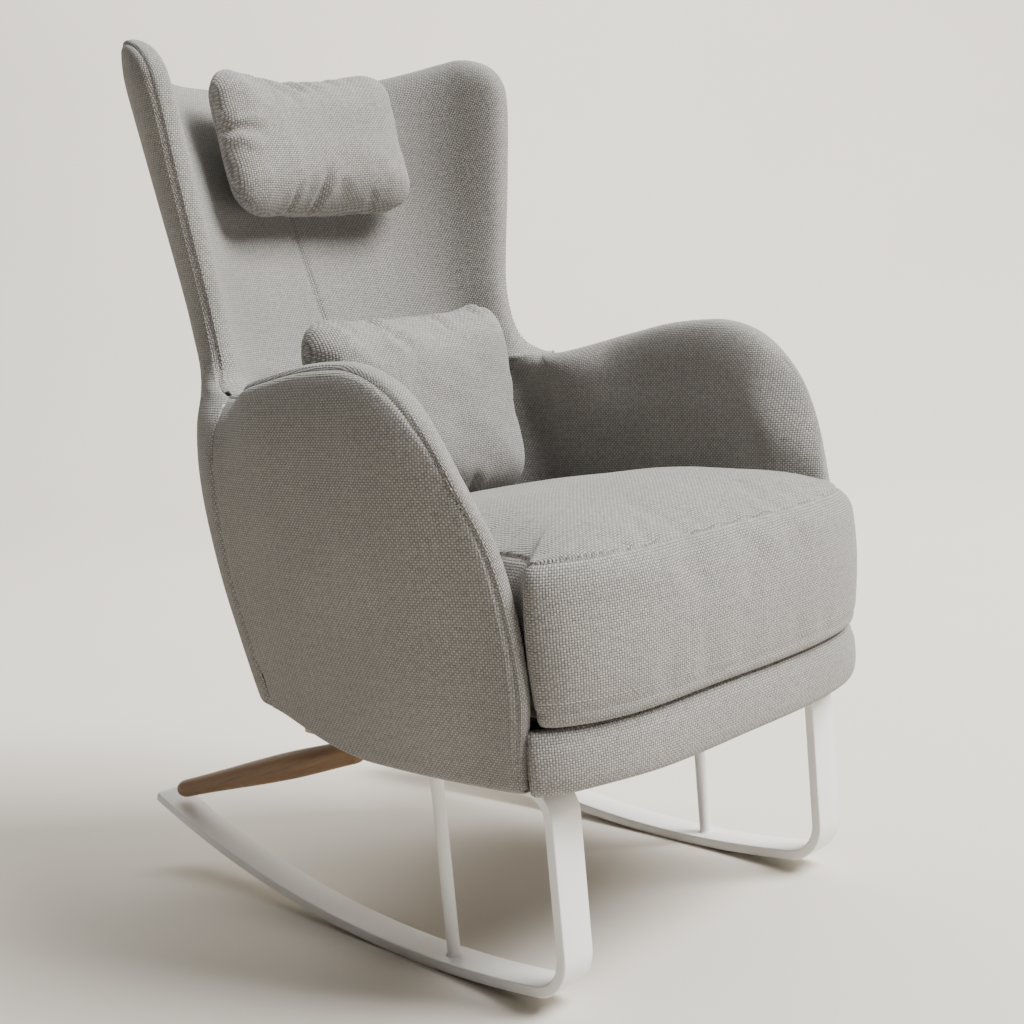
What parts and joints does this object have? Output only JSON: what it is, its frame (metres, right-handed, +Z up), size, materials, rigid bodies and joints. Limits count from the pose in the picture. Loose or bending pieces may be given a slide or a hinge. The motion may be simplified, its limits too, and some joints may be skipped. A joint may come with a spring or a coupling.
{
  "type": "rocking chair",
  "caption": "Upholstered wing-back rocking armchair on two bent flat-bar runners, with a loose D-front seat cushion, lumbar pillow and head pillow.",
  "frame": {"origin": "centre of the bounding box on the ground", "axes": "+Z up, -Y the way the sitter faces, +X to the right of someone facing the chair's front"},
  "size_m": [0.649, 0.8278, 1.0419],
  "materials": {
    "shell_fabric": "light grey basket weave upholstery",
    "cushion_fabric": "light grey basket weave upholstery, softer fill",
    "white_paint": "satin white powder coat",
    "oiled_wood": "turned brown wood, satin oil",
    "frame_wood": "raw frame timber",
    "moulded_ply": "moulded plywood",
    "zinc_steel": "zinc plated",
    "hook_and_loop": "black hook-and-loop tape",
    "black_cloth": "black woven cloth"
  },
  "bodies": {
    "chair": {"back_frame": "moulded_ply", "cross_rail": "frame_wood", "dust_cover": "black_cloth", "front_rail": "frame_wood", "front_rail_pad": "shell_fabric", "outer_back_panel": "shell_fabric", "rear_rail": "frame_wood", "seat_deck": "black_cloth", "back_hook_tape": "hook_and_loop", "left_arm_frame": "moulded_ply", "left_arm_pad": "shell_fabric", "left_back_pad": "shell_fabric", "left_corner_block": "frame_wood", "left_leg_plate": "zinc_steel", "left_post": "white_paint", "left_rear_leg": "oiled_wood", "left_runner": "white_paint", "left_seat_rail": "frame_wood", "left_side_panel": "shell_fabric", "left_tab_bolt_front": "zinc_steel", "left_tab_bolt_rear": "zinc_steel", "left_tail_screw": "zinc_steel", "right_arm_frame": "moulded_ply", "right_arm_pad": "shell_fabric", "right_back_pad": "shell_fabric", "right_corner_block": "frame_wood", "right_leg_plate": "zinc_steel", "right_post": "white_paint", "right_rear_leg": "oiled_wood", "right_runner": "white_paint", "right_seat_rail": "frame_wood", "right_side_panel": "shell_fabric", "right_tab_bolt_front": "zinc_steel", "right_tab_bolt_rear": "zinc_steel", "right_tail_screw": "zinc_steel", "seat_spring_1": "zinc_steel", "seat_spring_2": "zinc_steel", "seat_spring_3": "zinc_steel", "seat_spring_4": "zinc_steel"},
    "cushion": {"seat_cushion": "cushion_fabric"},
    "lumbar": {"lumbar_pillow": "cushion_fabric"},
    "headrest": {"head_pillow": "cushion_fabric", "head_pillow_loop_tape": "hook_and_loop"}
  },
  "joints": [
    {"name": "seat_cushion_lift_out", "type": "slide", "parent": "chair", "child": "cushion", "axis": [0, -0.9848, 0.1736], "range_m": [0, 0.56]},
    {"name": "lumbar_pillow_lift_out", "type": "slide", "parent": "chair", "child": "lumbar", "axis": [0, -0.5, 0.866], "range_m": [0, 0.55]},
    {"name": "head_pillow_pull_off", "type": "slide", "parent": "chair", "child": "headrest", "axis": [0, -0.9483, 0.3173], "range_m": [0, 0.32]}
  ]
}
